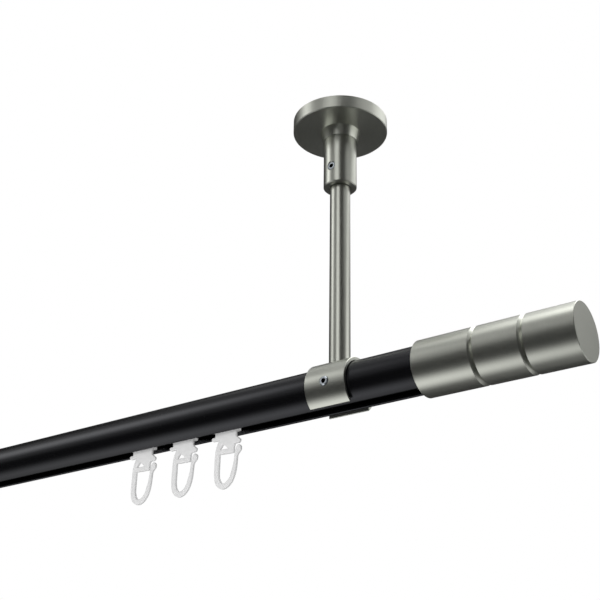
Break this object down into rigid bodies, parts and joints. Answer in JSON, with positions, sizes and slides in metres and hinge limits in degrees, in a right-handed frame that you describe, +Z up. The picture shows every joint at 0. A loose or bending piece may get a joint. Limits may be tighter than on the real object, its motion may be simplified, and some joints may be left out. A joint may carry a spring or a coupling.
{
  "type": "ceiling-hung curtain rod with inner track",
  "caption": "Slim round rod with a slot along its underside, hung from the ceiling on posts and clamp rings, with grooved cylinder finials and hooked gliders.",
  "frame": {"origin": "on the ceiling, over the middle of the rod", "axes": "+X along the rod towards its right end, +Y from the room towards the wall, +Z up"},
  "size_m": [1.09, 0.0436, 0.1664],
  "materials": {
    "satin_nickel": "satin",
    "satin_black": "satin",
    "glider_white": "satin",
    "screw_steel": "satin"
  },
  "bodies": {
    "ceiling_fixings": {"right_ceiling_plate": "satin_nickel", "right_socket": "satin_nickel", "right_socket_screw": "screw_steel", "left_ceiling_plate": "satin_nickel", "left_socket": "satin_nickel", "left_socket_screw": "screw_steel"},
    "hangers": {"right_post": "satin_nickel", "right_clamp_ring": "satin_nickel", "right_post_screw": "screw_steel", "right_clamp_screw": "screw_steel", "left_post": "satin_nickel", "left_clamp_ring": "satin_nickel", "left_post_screw": "screw_steel", "left_clamp_screw": "screw_steel"},
    "track": {"track_tube": "satin_black"},
    "right_rosette_cover": {"right_rosette": "satin_nickel"},
    "right_end": {"right_finial": "satin_nickel", "right_finial_screw": "screw_steel"},
    "right_glider_1_body": {"right_glider_1": "glider_white"},
    "right_glider_2_body": {"right_glider_2": "glider_white"},
    "right_glider_3_body": {"right_glider_3": "glider_white"},
    "left_rosette_cover": {"left_rosette": "satin_nickel"},
    "left_end": {"left_finial": "satin_nickel", "left_finial_screw": "screw_steel"},
    "left_glider_1_body": {"left_glider_1": "glider_white"},
    "left_glider_2_body": {"left_glider_2": "glider_white"},
    "left_glider_3_body": {"left_glider_3": "glider_white"}
  },
  "joints": [
    {"name": "rod_height", "type": "slide", "parent": "ceiling_fixings", "child": "hangers", "axis": [0, 0, -1], "range_m": [0, 0.01]},
    {"name": "tube_shift", "type": "slide", "parent": "hangers", "child": "track", "axis": [1, 0, 0], "range_m": [-0.025, 0.025]},
    {"name": "right_rosette_drop", "type": "slide", "parent": "ceiling_fixings", "child": "right_rosette_cover", "axis": [0, 0, -1], "range_m": [0, 0.1]},
    {"name": "right_finial_pull", "type": "slide", "parent": "track", "child": "right_end", "axis": [1, 0, 0], "range_m": [0, 0.024]},
    {"name": "right_glider_1_run", "type": "slide", "parent": "track", "child": "right_glider_1_body", "axis": [-1, 0, 0], "range_m": [-0.093, 0.185]},
    {"name": "right_glider_2_run", "type": "slide", "parent": "right_glider_1_body", "child": "right_glider_2_body", "axis": [-1, 0, 0], "range_m": [-0.0102, 0.065]},
    {"name": "right_glider_3_run", "type": "slide", "parent": "right_glider_2_body", "child": "right_glider_3_body", "axis": [-1, 0, 0], "range_m": [-0.0102, 0.065]},
    {"name": "left_rosette_drop", "type": "slide", "parent": "ceiling_fixings", "child": "left_rosette_cover", "axis": [0, 0, -1], "range_m": [0, 0.1]},
    {"name": "left_finial_pull", "type": "slide", "parent": "track", "child": "left_end", "axis": [-1, 0, 0], "range_m": [0, 0.024]},
    {"name": "left_glider_1_run", "type": "slide", "parent": "track", "child": "left_glider_1_body", "axis": [1, 0, 0], "range_m": [-0.093, 0.185]},
    {"name": "left_glider_2_run", "type": "slide", "parent": "left_glider_1_body", "child": "left_glider_2_body", "axis": [1, 0, 0], "range_m": [-0.0102, 0.065]},
    {"name": "left_glider_3_run", "type": "slide", "parent": "left_glider_2_body", "child": "left_glider_3_body", "axis": [1, 0, 0], "range_m": [-0.0102, 0.065]}
  ]
}
